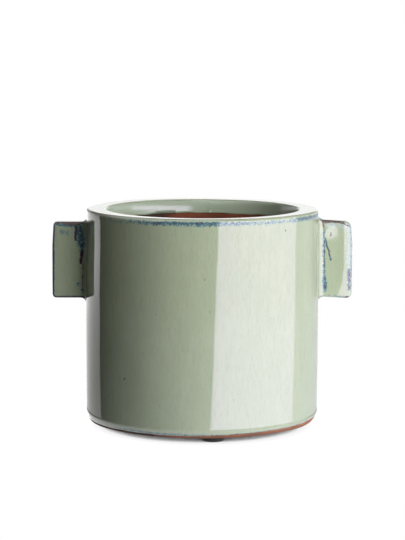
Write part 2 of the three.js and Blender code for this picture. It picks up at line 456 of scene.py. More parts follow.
def make_glaze_coat(pot, finish):
    """The coat of glaze: a thin closed shell. Its outside is the glazed path, which rounds down
    to the clay at both glaze lines behind a slight bead, and its hidden side lies in the clay."""
    angles = all_round(360)
    path_radius, path_height = glaze_path(pot, angles)
    radius, height = shaped(pot, path_radius, path_height, angles)
    out_radius, out_height = outward(radius, height)
    from_line = distances(radius, height)
    to_lip_line = from_line[-1] - from_line
    nearest = np.minimum(from_line, to_lip_line)
    width = 2 * pot.glaze_thickness
    rounding = np.sqrt(1 - (1 - np.clip(nearest / width, 0, 1)) ** 2) - 1
    lift = pot.glaze_thickness * rounding + pot.bead * bump(nearest, 1.5 * width, width)
    outside = turned(radius + out_radius * lift, height + out_height * lift, angles)
    depth = 2 * pot.glaze_thickness
    inside = turned(radius - out_radius * depth, height - out_height * depth, angles)[::-8]
    points = np.concatenate((outside, inside))
    below_rim = pot.top - path_height
    on_side = path_radius > pot.side_radius - pot.rim_width / 4
    band = np.where(on_side, below_rim, FAR)
    hidden = np.full((len(inside), len(angles)), FAR)
    breaking = np.interp(np.degrees(angles), BREAKING_ANGLES, BREAKING)
    lip_start = pot.side_radius - pot.rim_width
    return skin(
        "glaze_coat",
        points,
        finish,
        wrap=True,
        below_rim=np.concatenate((band, hidden)),
        from_line=np.concatenate((from_line, hidden)),
        breaking=breaking,
        fringe=np.interp(np.degrees(angles), FRINGE_ANGLES, FRINGE),
        # The lip, where the glaze pools and is also painted lighter, as painted light on the lip
        pooled=np.concatenate((smooth(path_radius, lip_start, lip_start - 2 * MM), hidden)),
        edge_gap=FAR,
    )


def make_clay_body(pot, finish):
    """The clay under the glaze: one closed turned solid. Its path runs from the axis along the
    underside, round the base, up the side and over the rim just under the glaze, down the lip,
    out along an S curve to the thinner wall, and round a fillet to the floor and the axis."""
    angles = all_round(256)
    skim = pot.glaze_thickness
    side = pot.side_radius - skim
    crown = pot.top - skim
    round_middle = pot.side_radius - base_width(pot, angles)
    round_height = pot.foot + pot.base_round
    fall = rim_fall(pot, angles)
    low_turn = steps(-math.pi / 2, 0, 24)
    edge = steps(0, math.pi / 2, 8)
    flat_end = pot.side_radius - pot.rim_width
    lip_in, lip_down = lip_path(pot)
    lip = flat_end - lip_in[-1] + skim
    wall = pot.side_radius - pot.wall_thickness
    lip_foot = pot.top - pot.lip_depth - 1 * MM
    ease = steps(0, 1, 18)
    fillet = steps(0, math.pi / 2, 10)
    corner = pot.floor_fillet
    stretches = [
        (round_middle * steps(0, 1, 10), pot.foot),
        (
            round_middle + (side - round_middle) * np.cos(low_turn),
            round_height + pot.base_round * np.sin(low_turn),
        ),
        (side, round_height + (crown - fall - round_height) * steps(0, 1, 90)[1:-1]),
        (side - pot.rim_round * (1 - np.cos(edge)), crown - fall * (1 - np.sin(edge))),
        (steps(side - pot.rim_round, flat_end, 6)[1:-1], crown),
        (flat_end - lip_in + skim, crown - lip_down),
        (lip, steps(crown - pot.lip_curve, lip_foot, 6)[1:]),
        (lip + (wall - lip) * smooth(ease, 0, 1), lip_foot - pot.rim_taper * ease),
        (wall, steps(lip_foot - pot.rim_taper, pot.floor_top + corner, 40)[1:-1]),
        (
            wall - corner * (1 - np.cos(fillet)),
            pot.floor_top + corner * (1 - np.sin(fillet)),
        ),
        (steps(wall - corner, 0, 12)[1:], pot.floor_top),
    ]
    path_radius, path_height = path_rows(stretches, angles)
    radius, height = shaped(pot, path_radius, path_height, angles)
    outside = smooth(path_radius, lip, side) * smooth(path_height, pot.foot, pot.foot + 1 * MM)
    # inside: the share where the clay is painted darker, as painted shade inside the pot
    in_reach = pot.side_radius - pot.wall_thickness / 2
    inside = smooth(path_height, pot.foot, pot.floor_top) * smooth(path_radius, side, in_reach)
    return skin(
        "clay_body",
        turned(radius, height, angles),
        finish,
        first_pole=True,
        last_pole=True,
        line_gap=np.abs(height - glaze_height(pot, angles)) + (1 - outside),
        inside=inside,
        # Painted shade: the clay darkens towards the left
        scorched=smooth(-np.sin(angles), *LEFT_SHADE_SINES),
    )


# ---- Lugs ----------------------------------------------------------------------------------


def slab_outline(long_steps, short_steps, arc_steps):
    """A rounded rectangle as a recipe: for each point its place on the core rectangle, from -1
    to 1 each way, and the direction in which the rounding moves it. It runs anticlockwise from
    the lower right, with y to the right and z up."""
    long_run = np.linspace(-1, 1, long_steps, endpoint=False)
    short_run = np.linspace(1, -1, short_steps, endpoint=False)
    turn = np.linspace(0, math.pi / 2, arc_steps, endpoint=False)
    corner_and_side = np.ones(short_steps + 2 * arc_steps)
    core_y = [
        np.ones(long_steps + arc_steps),
        short_run,
        -np.ones(long_steps + 2 * arc_steps),
        -short_run,
        np.ones(arc_steps),
    ]
    core_z = [long_run, corner_and_side, -long_run, -corner_and_side]
    facing = []
    for quarter, straight in enumerate((long_steps, short_steps, long_steps, short_steps)):
        facing += [np.full(straight, quarter * math.pi / 2), turn + quarter * math.pi / 2]
    facing = np.concatenate(facing)
    return np.concatenate(core_y), np.concatenate(core_z), np.cos(facing), np.sin(facing)


def edge_drop(before_end, radius):
    """How far a round edge has drawn in at a distance before the end: the sagitta of a circle."""
    into = np.clip(radius - before_end, 0, radius)
    return radius - np.sqrt(radius**2 - into**2)


# The sections of a lug inside the wall: the distance from the side of the pot, and how far the
# section stands out beyond the slip fillet, in millimetres
BURIED_SECTIONS = ((-5.0, 0.9), (-1.2, 0.9), (-0.2, 0.9), (-0.12, 0.6), (-0.05, 0.3))

# How far the free end of a lug is crowned, and the shares of its height over which it draws in
END_CROWN = 0.35 * MM
DRAWN_HEIGHTS = (0.12, 0.52)


def lug_stations(lugs, corner):
    """The lug's sections as two columns, the distance from the side of the pot and the rise of
    the slip fillet: buried in the wall, out along the quarter circle of the fillet, along the
    slab, and round the free corner as a quarter circle."""
    sweep = steps(0, math.pi / 2, 18)
    buried = np.array(BURIED_SECTIONS) * MM
    buried[:, 1] += lugs.fillet
    fillet = np.hstack((lugs.fillet * (1 - np.cos(sweep)), lugs.fillet * (1 - np.sin(sweep))))
    slab = steps(lugs.fillet, lugs.reach - corner, 26)[1:-1]
    turn = steps(0, math.pi / 2, 16)
    tip = lugs.reach - corner * (1 - np.sin(turn))
    flat = np.concatenate((slab, tip))
    return np.concatenate((buried, fillet, np.hstack((flat, np.zeros_like(flat)))))


def lug_surface(lugs, height, corner, droop, short, draw, swell):
    """Points of a lug in its own frame, x outwards from the side of the pot, in rings of a
    rounded rectangle. swell gives how far the two broad faces stand out, from x and z. The free
    end stays back by short, and at its top by draw as well. The free end is closed over a slight
    crown, and the root inside the wall by a pole. The gap is each point's distance to the
    nearest edge: the middle one of its distances to the three pairs of faces."""
    outline = slab_outline(long_steps=64, short_steps=10, arc_steps=9)
    core_y, core_z, face_y, face_z = outline
    stations = lug_stations(lugs, corner)
    distance, rise = stations[:, :1], stations[:, 1:]
    before_end = lugs.reach - distance
    half_y = lugs.thickness / 2 + rise - edge_drop(before_end, lugs.edge_round)
    half_z = height / 2 + rise - edge_drop(before_end, corner)
    rounding = lugs.edge_round + rise
    y = core_y * (half_y - rounding) + face_y * rounding
    z = core_z * (half_z - rounding) + face_z * rounding
    x = np.broadcast_to(distance, y.shape)
    gaps = (np.clip(before_end + 0 * y, 0, None), half_y - np.abs(y), half_z - np.abs(z))
    side_gap = np.median(np.stack(gaps), axis=0)
    y = y + face_y * swell(x, z, np.sign(face_y)) * smooth(distance, 0, lugs.fillet)
    shrink = steps(1, 0, 7)[1:]
    crown = lugs.reach + END_CROWN * (1 - shrink**2)
    x = np.concatenate((np.full_like(x[:1], distance[0, 0]), x, crown + 0 * y[-1]))
    cap = np.stack((y[-1] * shrink, z[-1] * shrink))
    y = np.concatenate((0 * y[:1], y, cap[0]))
    z = np.concatenate((0 * z[:1], z, cap[1]))
    end_gap = side_gap[-1] + (1 - shrink) * lugs.thickness / 2
    edge_gap = np.concatenate((side_gap[:1], side_gap, end_gap))
    towards_end = smooth(x, lugs.fillet, lugs.reach)
    towards_top = smooth(z / height, *DRAWN_HEIGHTS)
    x = x - towards_end * (short + draw * towards_top)
    z = z - np.tan(droop) * np.clip(x, 0, None)
    return x, y, z, edge_gap


# Where the right lug's glaze breaks most: the corner at the top of its root, from these shares of
# the lug's height and to these distances from the pot
TOP_CORNER_HEIGHTS = (0.40, 0.48)
TOP_CORNER_REACH = (22 * MM, 14 * MM)
RIGHT_BREAKING = 0.12


def make_lug(name, pot, lugs, finish, side, lift, height, **form):
    """A slab lug on the side +1 (right) or -1 (left). Its root follows the round wall and its
    waves: x is measured from the square root of the side's radius squared minus y squared."""
    x, y, z, edge_gap = lug_surface(lugs, height, **form)
    top_corner = smooth(z / height, *TOP_CORNER_HEIGHTS) * smooth(x, *TOP_CORNER_REACH)
    right_breaking = RIGHT_BREAKING + (1 - RIGHT_BREAKING) * top_corner
    z = z + lugs.middle + lift
    seat = np.sqrt(pot.side_radius**2 - y**2)
    near_wall = 1 - smooth(x, lugs.fillet, 3 * lugs.fillet)
    round_angle = side * (math.pi / 2 + y / pot.side_radius)
    wave = hand_wave(round_angle, z)
    out = pot.side_radius + x + near_wall * (seat - pot.side_radius + wave)
    points = np.stack((side * out, side * y, z), axis=-1)
    # A lug has no rim and no glaze line, so neither the band nor the fringe shows on it
    return skin(
        name,
        points,
        finish,
        first_pole=True,
        last_pole=True,
        below_rim=FAR,
        from_line=FAR,
        breaking=1.0 if side < 0 else right_breaking,
        fringe=0.5,
        pooled=0.0,
        edge_gap=edge_gap,
    )


# What the front of the right lug does, in millimetres: it slopes up outwards, falls off with the
# square of the distance past a line, which bends inwards near the foot of the lug, and has two
# humps, each with its height, its place and spread outwards, and its place and spread upwards
RIGHT_SLOPE = 0.004
RIGHT_FALL = 0.008
RIGHT_FALL_LINE = 20.8
RIGHT_BEND = 2.0
RIGHT_BEND_PLACE = -34.0
RIGHT_BEND_SPREAD = 12.0
RIGHT_HUMPS = ((0.72, 3.0, 10.0, 25.0, 8.0), (0.36, 17.5, 5.5, -27.0, 5.5))


def right_swell(x, z, face):
    """The right lug's broad faces: in front the slope, the fall-off and the humps, and on both
    sides a faint sum of sines."""
    across, up = x / MM, z / MM
    bend = RIGHT_BEND * bump(up, RIGHT_BEND_PLACE, RIGHT_BEND_SPREAD)
    past_line = np.clip(across - RIGHT_FALL_LINE + bend, 0, None)
    humps = sum(
        height * bump(across, place, spread) * bump(up, place_up, spread_up)
        for height, place, spread, place_up, spread_up in RIGHT_HUMPS
    )
    uneven = 0.03 * np.sin(0.22 * up + 0.3 * across) + 0.02 * np.sin(0.5 * up - 1)
    front = RIGHT_SLOPE * across - RIGHT_FALL * past_line**2 + humps + uneven
    back = 0.1 * np.sin(0.1 * up + 0.1 * across)
    return np.where(face < 0, front, back) * MM


def left_swell(x, z, face):
    """The left lug's broad faces: slow sine waves up and across the slab."""
    across, up = x / MM, z / MM
    front = 0.05 * np.sin(0.11 * up + 0.2 * across + 0.7) + 0.02 * np.sin(0.37 * up)
    back = 0.1 * np.sin(0.09 * up - 0.15 * across)
    return np.where(face > 0, front, back) * MM


# ---- Feet ----------------------------------------------------------------------------------


def make_disc(name, middle, profile, finish):
    """A small turned solid: a closed profile of radius and height from axis to axis."""
    angles = all_round(96)
    points = turned(profile[:, :1], profile[:, 1:], angles)
    points[..., 0] += middle[0]
    points[..., 1] += middle[1]
    return skin(name, points, finish, first_pole=True, last_pole=True)


def joined(stretches):
    """The stretches of a profile, each a radius and a height, joined as pairs."""
    pairs = [np.broadcast_arrays(radius, height) for radius, height in stretches]
    return np.concatenate([np.concatenate(pair, axis=1) for pair in pairs])


# The small round at a foot's upper edge, and how far the glue bulges out
FOOT_TOP_ROUND = 0.3 * MM
GLUE_BULGE = 0.15 * MM


def foot_profile(feet):
    """From the axis along the sole, round the lower edge as a quarter circle, up the side with
    a small round at its top, and back to the axis."""
    low = steps(-math.pi / 2, 0, 12)
    high = steps(0, math.pi / 2, 6)
    small = FOOT_TOP_ROUND
    stretches = [
        (steps(0, feet.radius - feet.edge_round, 8)[:-1], 0),
        (
            feet.radius - feet.edge_round * (1 - np.cos(low)),
            feet.edge_round * (1 + np.sin(low)),
        ),
        (feet.radius - small * (1 - np.cos(high)), feet.height - small * (1 - np.sin(high))),
        (steps(feet.radius - small, 0, 8)[1:], feet.height),
    ]
    return joined(stretches)


def glue_profile(feet):
    """A flat disc whose side bulges out by a sine between the foot and the clay."""
    up = steps(0, 1, 7)
    side = feet.glue_radius + GLUE_BULGE * np.sin(math.pi * up)
    stretches = [
        (steps(0, feet.glue_radius, 5)[:-1], feet.height),
        (side, feet.height + (feet.glue_top - feet.height) * up),
        (steps(feet.glue_radius, 0, 5)[1:], feet.glue_top),
    ]
    return joined(stretches)


# ---- Finishes ------------------------------------------------------------------------------


class Value:
    """A number or colour that a node works out. Python arithmetic adds Math nodes."""

    def __init__(self, paint, socket):
        self.paint = paint
        self.socket = socket

    def math(self, operation, first, second=0.0):
        settings = {"operation": operation}
        return self.paint.node("ShaderNodeMath", settings, {0: first, 1: second})

    def __add__(self, other):
        return self.math("ADD", self, other)

    def __sub__(self, other):
        return self.math("SUBTRACT", self, other)

    def __rsub__(self, other):
        return self.math("SUBTRACT", other, self)

    def __mul__(self, other):
        return self.math("MULTIPLY", self, other)

    def __truediv__(self, other):
        return self.math("DIVIDE", self, other)

    def __pow__(self, other):
        return self.math("POWER", self, other)

    def at_most(self, other):
        return self.math("MINIMUM", self, other)

    def at_least(self, other):
        return self.math("MAXIMUM", self, other)

    __radd__ = __add__
    __rmul__ = __mul__


class Paint:
    """The node tree of a material or a world."""

    def __init__(self, owner):
        owner.use_nodes = True
        self.owner = owner
        self.tree = owner.node_tree
        self.tree.nodes.clear()

    def node(self, kind, settings=None, sockets=None, output=0):
        """Adds a node, sets it, fills or links its sockets, and gives one of its outputs."""
        made = self.tree.nodes.new(kind)
        for name, setting in (settings or {}).items():
            setattr(made, name, setting)
        for name, filling in (sockets or {}).items():
            if isinstance(filling, Value):
                self.tree.links.new(filling.socket, made.inputs[name])
            else:
                made.inputs[name].default_value = filling
        return Value(self, made.outputs[output]) if made.outputs else None

    def place(self, stretch=(1, 1, 1)):
        """Object coordinates, stretched. A small number draws a pattern out along that axis."""
        position = self.node("ShaderNodeTexCoord", output="Object")
        return self.node("ShaderNodeMapping", sockets={"Vector": position, "Scale": stretch})

    def noise(self, place, size, detail=2.0, roughness=0.5, output=0):
        """Soft noise from 0 to 1, whose patches are about this many metres across."""
        sockets = {"Vector": place, "Scale": 1 / size, "Detail": detail, "Roughness": roughness}
        return self.node("ShaderNodeTexNoise", sockets=sockets, output=output)

    def dots(self, place, size):
        """The distance to the nearest of scattered points, in spacings."""
        return self.node("ShaderNodeTexVoronoi", sockets={"Vector": place, "Scale": 1 / size})

    def rise(self, value, start, end):
        """0 before start and 1 past end, with a smooth step between. It falls if end is lower."""
        sockets = {"Value": value, "From Min": start, "From Max": end}
        return self.node("ShaderNodeMapRange", {"interpolation_type": "SMOOTHSTEP"}, sockets)

    def vector(self, operation, sockets, output=0):
        return self.node("ShaderNodeVectorMath", {"operation": operation}, sockets, output)

    def near(self, place, point, radius, heart=0.45):
        """A soft round spot: 0 outside this radius, and 1 within its heart, a share of it."""
        away = self.vector("DISTANCE", {0: place, 1: point}, "Value")
        return self.rise(away, radius, heart * radius)

    def stroke(self, place, start, end, half_width):
        """1 on the line between two points, and less with the distance from it: 0 at the half
        width and below 0 past it."""
        along = Vector(end) - Vector(start)
        per_length = along / along.length_squared
        from_start = self.vector("SUBTRACT", {0: place, 1: start})
        share = self.vector("DOT_PRODUCT", {0: from_start, 1: per_length}, "Value")
        nearest = self.vector("SCALE", {0: along, "Scale": share.at_least(0.0).at_most(1.0)})
        away = self.vector("DISTANCE", {0: from_start, 1: nearest}, "Value")
        return 1 - away / half_width

    def attribute(self, name):
        return self.node("ShaderNodeAttribute", {"attribute_name": name}, output="Fac")

    def blend(self, share, first, second):
        """The first colour, turned into the second one by a share from 0 to 1."""
        sockets = {0: share, 6: first, 7: second}
        return self.node("ShaderNodeMix", {"data_type": "RGBA"}, sockets, 2)

    def bump(self, height, depth, normal=None):
        """A normal from a height of 0 to 1 that stands for this depth in metres."""
        sockets = {"Height": height, "Distance": depth}
        if normal:
            sockets["Normal"] = normal
        return self.node("ShaderNodeBump", sockets=sockets)

    def shader(self, surface):
        self.node("ShaderNodeOutputMaterial", sockets={"Surface": surface})
        return self.owner


def opaque(shade):
    """A colour setting with its alpha."""
    return (*shade, 1.0)


def on_side(pot, degrees, height):
    """The point of the side at an angle round the pot and a height."""
    turn = math.radians(degrees)
    return (pot.side_radius * math.sin(turn), -pot.side_radius * math.cos(turn), height)


# Pinholes and iron specks in the side: angle in degrees, height, radius, darkness
PINHOLES = (
    (-40.3, 52.0 * MM, 1.1 * MM, 1.0),
    (43.5, 176.6 * MM, 1.0 * MM, 1.0),
    (0.9, 138.6 * MM, 0.9 * MM, 0.55),
    (3.7, 112.1 * MM, 0.8 * MM, 0.5),
    (-22.3, 108.5 * MM, 0.7 * MM, 0.5),
    (-39.0, 31.5 * MM, 0.6 * MM, 0.7),
    (-36.0, 32.0 * MM, 0.6 * MM, 0.6),
    (-20.6, 33.0 * MM, 0.6 * MM, 0.6),
    (64.0, 141.0 * MM, 0.7 * MM, 0.6),
    (141.0, 96.0 * MM, 1.0 * MM, 0.8),
    (-152.0, 131.0 * MM, 0.8 * MM, 0.7),
)

# Strokes in which the glaze breaks on the front of the lugs: the kind, the two ends as x and
# height, the half width (all in millimetres), and the strength
LUG_STROKES = (
    ("blue", (-107.0, 172.5), (-104.4, 157.5), 4.6, 0.58),
    ("blue", (-105.6, 160.0), (-103.8, 152.0), 2.6, 0.60),
    ("blue", (-126.5, 174.6), (-118.5, 173.6), 1.9, 0.55),
    ("blue", (-122.0, 168.5), (-115.5, 166.5), 3.2, 0.31),
    ("blue", (-118.0, 173.0), (-107.0, 172.8), 1.3, 0.60),
    ("blue", (-107.4, 123.0), (-107.4, 121.8), 1.8, 0.44),
    ("blue", (-103.6, 118.0), (-103.2, 115.0), 1.4, 0.46),
    ("plum", (-108.8, 172.0), (-109.4, 160.0), 1.5, 0.68),
    ("plum", (-103.9, 150.0), (-104.6, 140.5), 1.7, 0.74),
    ("plum", (-103.3, 139.0), (-103.2, 120.5), 0.9, 0.62),
    ("umber", (-119.0, 175.4), (-108.0, 175.2), 1.9, 1.0),
    ("umber", (103.0, 177.4), (109.0, 177.2), 1.7, 1.0),
    ("umber", (103.6, 176.0), (104.2, 171.2), 1.3, 0.9),
    ("umber", (109.0, 177.2), (121.0, 176.2), 0.9, 1.0),
    ("umber", (108.4, 154.5), (109.3, 150.5), 0.8, 0.9),
    ("umber", (110.6, 168.2), (109.8, 164.6), 0.7, 1.0),
    ("umber", (124.2, 111.4), (125.0, 111.4), 1.4, 1.0),
    ("umber", (105.0, 112.6), (118.0, 111.4), 0.7, 0.6),
    ("blue", (104.2, 170.5), (104.6, 150.0), 1.4, 0.60),
    ("blue", (104.6, 150.0), (105.0, 117.0), 1.4, 0.52),
    ("blue", (105.2, 128.0), (105.4, 118.5), 2.3, 0.62),
    ("blue", (105.6, 162.5), (110.4, 144.5), 0.8, 1.0),
    ("blue", (126.0, 135.5), (126.2, 118.5), 1.5, 0.60),
    ("plum", (121.5, 175.6), (126.6, 173.0), 0.8, 0.7),
    ("plum", (127.6, 170.0), (129.0, 150.0), 0.7, 0.7),
    ("plum", (127.6, 136.0), (127.4, 119.5), 0.9, 0.75),
    ("frost", (108.0, 174.4), (123.0, 173.8), 2.8, 0.60),
    ("frost", (126.0, 171.0), (126.4, 138.0), 2.8, 0.60),
)

# The y of the front of the lugs
LUG_FRONT = -6 * MM

# How far noise tears a stroke, and the share of its half width within which it is at its strongest
STROKE_TEAR = 2.6 * MM
STROKE_HEART = 0.35

# How strongly the glaze breaks to blue: in the band below the rim, along the glaze line, along
# the edges of a lug, and how much more there where the lug breaks most
BAND_BREAKS = 0.60
LINE_BREAKS = 0.47
EDGE_BREAKS = 0.26
EDGE_BREAKS_MORE = 0.32

# How fully each layer of the glaze covers what lies below it
COVER = {
    "haze_and_floor_light": 0.80,
    "thin": 0.11,
    "pale": 0.15,
    "pool": 0.85,
    "frost": 0.75,
    "teal": 0.85,
    "blue": 0.80,
    "plum": 0.80,
    "rim_line": 0.80,
    "bare_edge": 0.90,
    "specks": 0.60,
}


def on_lug(spot):
    """The point on the front of a lug at this x and height in millimetres."""
    return (spot[0] * MM, LUG_FRONT, spot[1] * MM)


def glaze_finish(pot, tints):
    """Sage reactive glaze: fine vertical streaks and clouds of olive and haze, blue mottles with
    plum hearts and a teal fringe below the rim, along the glaze line and on the lugs, umber
    where it runs thin over an edge, a few iron specks and a slight orange peel."""
    paint = Paint(bpy.data.materials.new("sage_glaze"))
    place = paint.place()

    # Streaks and clouds. The coat is thick in some of the clouds, and towards the base the glaze is
    # painted lighter, as painted light from the floor.
    height = paint.node("ShaderNodeSeparateXYZ", sockets={"Vector": place}, output="Z")
    drawn = paint.place((1, 1, 0.13))
    fine = paint.noise(drawn, 1.0 * MM, 2, 0.6)
    broad = paint.noise(drawn, 4.5 * MM, 2, 0.55)
    clouds = paint.noise(place, 30 * MM, 2, 0.5)
    grain = paint.noise(place, 0.8 * MM, 2, 0.6)
    warm = paint.rise(0.25 * broad + 0.45 * fine + 0.30 * clouds, 0.32, 0.68)
    body = paint.blend(warm, opaque(tints.sage), opaque(tints.olive))
    thick_and_floor_light = 0.4 * paint.rise(0.5 * clouds + 0.5 * broad, 0.40, 0.68)
    # Painted light: the glaze gets lighter towards the base
    thick_and_floor_light = (thick_and_floor_light + 0.75 * paint.rise(height, 0.17, 0.02)).at_most(1.0)
    body = paint.blend(thick_and_floor_light * COVER["haze_and_floor_light"], body, opaque(tints.haze_and_floor_light))
    thin = paint.rise(0.6 * fine + 0.4 * grain, 0.48, 0.66)
    body = paint.blend(thin * COVER["thin"], body, opaque(tints.umber))
    pale = paint.rise(0.5 * fine + 0.5 * grain, 0.48, 0.34)
    body = paint.blend(pale * COVER["pale"], body, opaque(tints.haze_and_floor_light))
    # The lip: glaze that pools there, painted lighter as well, as painted light on the lip
    pooled = paint.attribute("pooled")
    body = paint.blend(pooled * COVER["pool"], body, opaque(tints.pool))

    # Where it breaks: a band below the rim, a fringe along the glaze line, the edges of the lugs
    # and the strokes on them
    below_rim = paint.attribute("below_rim") / MM
    from_line = paint.attribute("from_line") / MM
    edge_gap = paint.attribute("edge_gap") / MM
    breaking = paint.attribute("breaking")
    mottle = paint.noise(place, 1.4 * MM, 2, 0.6) - 0.5
    hearts = paint.noise(place, 1.8 * MM, 2, 0.6)
    wander = paint.noise(place, 9 * MM, 1, 0.5) - 0.5
    drips = paint.noise(paint.place((1, 1, 0.3)), 2.2 * MM, 2, 0.5) - 0.5
    depth = below_rim + wander + 2.4 * drips
    band = paint.rise(depth, 1.4, 2.6) * paint.rise(depth, 7.6, 3.8) * breaking * BAND_BREAKS
    fringe = (from_line + 1.2 * wander) / paint.attribute("fringe")
    line = paint.rise(fringe, 1.0, 0.45) * LINE_BREAKS
    edge_breaks = EDGE_BREAKS + EDGE_BREAKS_MORE * breaking
    edge = paint.rise(edge_gap + 1.2 * wander, 2.5, 1.5) * edge_breaks
    shift = paint.noise(place, 2.6 * MM, 2, 0.6, output="Color")
    shift = paint.vector("SUBTRACT", {0: shift, 1: (0.5, 0.5, 0.5)})
    tear = (STROKE_TEAR, STROKE_TEAR, STROKE_TEAR)
    torn = paint.vector("MULTIPLY_ADD", {0: shift, 1: tear, 2: place})
    kinds = {"blue": band.at_least(line).at_least(edge), "plum": 0.0, "umber": 0.0, "frost": 0.0}
    for kind, start, end, half_width, strength in LUG_STROKES:
        stroke = paint.stroke(torn, on_lug(start), on_lug(end), half_width * MM)
        kinds[kind] = ((stroke + STROKE_HEART).at_most(1.0) * strength).at_least(kinds[kind])
    frost = paint.rise(kinds["frost"] + 2.6 * mottle, 0.35, 0.6)
    teal = paint.rise(kinds["blue"] + 1.3 * mottle, 0.20, 0.42)
    blue = paint.rise(kinds["blue"] + 1.3 * mottle, 0.44, 0.60)
    plum = blue * paint.rise(hearts, 0.52, 0.62) * COVER["plum"]
    plum = plum.at_least(paint.rise(kinds["plum"] + 0.8 * mottle, 0.40, 0.55))
    body = paint.blend(frost * COVER["frost"], body, opaque(tints.frost))
    body = paint.blend(teal * COVER["teal"], body, opaque(tints.teal))
    body = paint.blend(blue * COVER["blue"], body, opaque(tints.blue))
    body = paint.blend(plum, body, opaque(tints.plum))

    # Umber edges, pinholes and specks
    bare_edge = paint.rise(edge_gap + wander, 1.75, 1.15) * paint.rise(breaking, 0.1, 0.8)
    rim_line = paint.rise(below_rim, 0.1, 0.5) * paint.rise(below_rim, 1.7, 1.0)
    rim_line = rim_line * paint.rise(breaking, 0.5, 0.2) * COVER["rim_line"]
    bare_edge = rim_line.at_least(bare_edge)
    bare_edge = paint.rise(kinds["umber"] + 0.6 * mottle, 0.35, 0.55).at_least(bare_edge)
    body = paint.blend(bare_edge * COVER["bare_edge"], body, opaque(tints.umber))
    specks = paint.rise(paint.dots(place, 15 * MM), 0.034, 0.020)
    body = paint.blend(specks * COVER["specks"], body, opaque(tints.umber))
    pits = 0.0
    for degrees, pit_height, radius, dark in PINHOLES:
        pits = paint.near(place, on_side(pot, degrees, pit_height), radius) * dark + pits
    body = paint.blend(pits, body, opaque(tints.plum))

    # A slight orange peel over a slow flow, and a dent at each pinhole
    peel = paint.noise(place, 4.5 * MM, 1, 0.4)
    flow = paint.noise(paint.place((1, 1, 0.35)), 16 * MM, 1, 0.4)
    normal = paint.bump(peel, 0.010 * MM, paint.bump(flow, 0.03 * MM))
    normal = paint.bump(1 - pits, 0.15 * MM, normal)
    roughness = 0.05 + 0.04 * grain + 0.10 * pooled + 0.40 * bare_edge
    sockets = {"Base Color": body, "Roughness": roughness, "Normal": normal, "IOR": 1.52}
    return paint.shader(paint.node("ShaderNodeBsdfPrincipled", sockets=sockets))


def clay_finish(tints):
    """Bare red clay: dark clouds and flecks, pale grog, a dark stain along the glaze line, and a
    fine tooth. Painted shade darkens it towards the left and inside the pot."""
    paint = Paint(bpy.data.materials.new("red_clay"))
    place = paint.place()
    clouds = paint.noise(place, 14 * MM, 3, 0.55)
    grain = paint.noise(place, 0.9 * MM, 4, 0.65)
    grog = paint.dots(place, 1.7 * MM)
    # Inside the pot the clay is painted darker, as painted shade
    body = paint.blend(paint.attribute("inside"), opaque(tints.clay), opaque(tints.shaded_inner_clay))
    # Dark clouds, and painted shade that darkens the clay towards the left
    dark = paint.rise(clouds, 0.35, 0.70) * 0.3 + paint.attribute("scorched") * 0.85
    body = paint.blend(dark.at_most(1.0), body, opaque(tints.scorch))
    body = paint.blend(paint.rise(grain, 0.55, 0.75) * 0.35, body, opaque(tints.scorch))
    pale = paint.rise(grog, 0.16, 0.08)
    body = paint.blend(pale * 0.25, body, opaque(tints.grog))
    line_gap = paint.attribute("line_gap") / MM
    stain = paint.rise(line_gap + 1.2 * (clouds - 0.5), 0.9, 0.2)
    body = paint.blend(stain * 0.8, body, opaque(tints.umber))
    tooth = paint.bump(grain, 0.12 * MM)
    tooth = paint.bump(paint.rise(grog, 0.05, 0.25), 0.10 * MM, tooth)
    sockets = {
        "Base Color": body,
        "Roughness": 0.78 + 0.15 * grain,
        "Normal": tooth,
        "Specular IOR Level": 0.1,
    }
    return paint.shader(paint.node("ShaderNodeBsdfPrincipled", sockets=sockets))


def rubber_finish(tints):
    """Soft dark rubber: faint dusty clouds and a matt grain."""
    paint = Paint(bpy.data.materials.new("soft_rubber"))
    place = paint.place()
    dust = paint.noise(place, 3.5 * MM, 3, 0.6)
    grain = paint.noise(place, 0.25 * MM, 2, 0.5)
    shade = paint.rise(dust, 0.45, 0.75) * 0.25
    body = paint.blend(shade, opaque(tints.rubber), opaque(tints.dust))
    sockets = {
        "Base Color": body,
        "Roughness": 0.55 + 0.25 * dust,
        "Normal": paint.bump(grain, 0.02 * MM),
        "Specular IOR Level": 0.15,
    }
    return paint.shader(paint.node("ShaderNodeBsdfPrincipled", sockets=sockets))


def glue_finish(tints):
    """A cloudy film of glue with small bubbles."""
    paint = Paint(bpy.data.materials.new("glue_film"))
    place = paint.place()
    clouds = paint.noise(place, 1.6 * MM, 3, 0.6)
    bubbles = paint.rise(paint.dots(place, 0.8 * MM), 0.25, 0.15)
    body = paint.blend(clouds * 0.5, opaque(tints.glue), opaque(tints.stale_glue))
    body = paint.blend(bubbles * 0.4, body, opaque(tints.bubble))
    sockets = {"Base Color": body, "Roughness": 0.3 + 0.3 * clouds}
    return paint.shader(paint.node("ShaderNodeBsdfPrincipled", sockets=sockets))


# ---- Studio --------------------------------------------------------------------------------

# What stands on a circle round the pot, from one angle in degrees to the next: a softbox to the
# right of the front, the wall behind it that fades to the rear, the backdrop, and round to the
# softbox again a dark flag with a light above it. Three lights that the glaze doesn't mirror
# stand there too. The distance is the radius of the circle.
CARD_DISTANCE = 1.0
SOFTBOX_FRONT = 12.4
SOFTBOX_REAR = 99.0
SPILL_REAR = 160.0
BACKDROP_REAR = 244.3
FRONT_LIGHT = (11.3, 33.2)
KEY_LIGHT = (39.2, 60.8)
REAR_LIGHT = (118.0, 200.0)

# How far the softbox's two edges lean, in degrees for each metre, and between which heights
FRONT_LEAN = 25.0
REAR_LEAN = 9.0
LEAN_HEIGHTS = (-0.3, 0.15)

